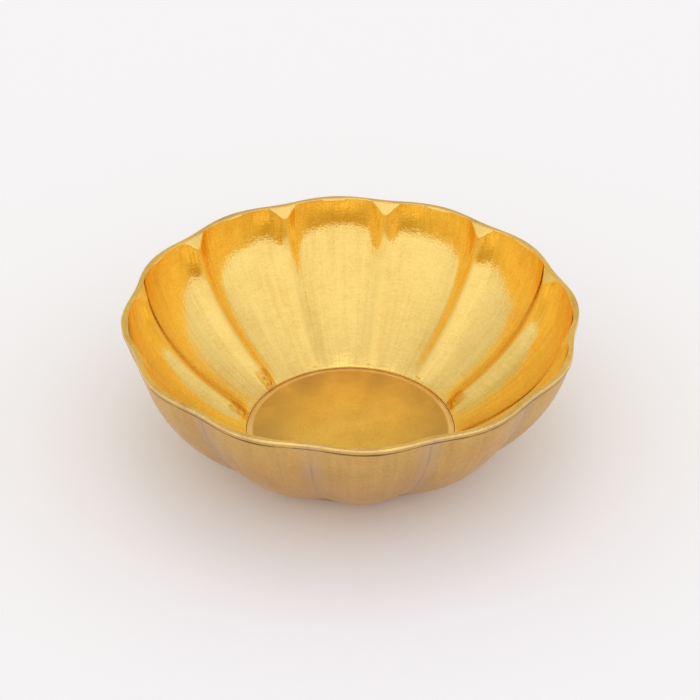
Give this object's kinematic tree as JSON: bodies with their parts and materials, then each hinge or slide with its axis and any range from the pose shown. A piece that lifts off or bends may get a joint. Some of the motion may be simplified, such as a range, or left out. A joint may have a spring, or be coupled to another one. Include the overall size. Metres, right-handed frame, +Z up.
{
  "type": "fluted bowl",
  "caption": "Shallow round brass bowl with a lobed wall, a flat floor and a narrow bright rim, for holding water, flowers, sweets or offerings.",
  "frame": {"origin": "centre of the flat resting face under the bowl", "axes": "+Z up, along the bowl's axis; one lobe is centred on +X"},
  "size_m": [0.152, 0.152, 0.0505],
  "materials": {
    "wall_brass": "satin, brushed round the bowl",
    "floor_brass": "satin, lathe turned",
    "rim_brass": "polished"
  },
  "bodies": {
    "root": {"fluted_wall": "wall_brass", "floor_disc": "floor_brass", "rim_band": "rim_brass"}
  },
  "joints": []
}
